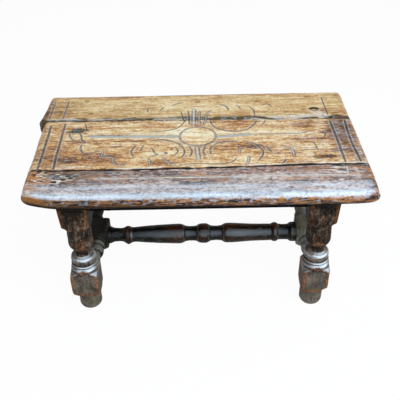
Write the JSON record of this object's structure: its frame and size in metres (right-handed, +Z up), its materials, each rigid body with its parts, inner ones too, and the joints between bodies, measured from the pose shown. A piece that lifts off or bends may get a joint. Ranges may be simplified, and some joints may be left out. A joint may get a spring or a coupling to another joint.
{
  "type": "joint stool",
  "caption": "Low joined oak stool with a plank top, moulded edge, turned baluster legs, side stretchers joined by a turned middle one, and wooden pegs throughout.",
  "frame": {"origin": "on the floor, under the middle of the top", "axes": "+X runs along the stool to its right as seen from the front, +Y points to its back, +Z up"},
  "size_m": [0.4685, 0.275, 0.214],
  "materials": {
    "top_boards": "aged oak, honey brown with dark stains, waxed",
    "front_board": "aged oak, darker red brown, worn and waxed to a sheen",
    "frame": "near-black stained oak, worn to brown at its arrises, waxed",
    "pegs": "riven oak pegs and dowels, dark end grain"
  },
  "bodies": {
    "root": {"dowels_back_joint": "pegs", "dowels_front_joint": "pegs", "leg_back_left": "frame", "leg_back_right": "frame", "leg_front_left": "frame", "leg_front_right": "frame", "middle_stretcher": "frame", "middle_stretcher_pegs": "pegs", "rail_back": "frame", "rail_front": "frame", "rail_left": "frame", "rail_pegs_back": "pegs", "rail_pegs_front": "pegs", "rail_pegs_left": "pegs", "rail_pegs_right": "pegs", "rail_right": "frame", "side_stretcher_left": "frame", "side_stretcher_pegs_left": "pegs", "side_stretcher_pegs_right": "pegs", "side_stretcher_right": "frame", "top_board_back": "top_boards", "top_board_front": "front_board", "top_board_middle": "top_boards", "top_pegs_back": "pegs", "top_pegs_front": "pegs", "top_pegs_middle": "pegs"}
  },
  "joints": []
}
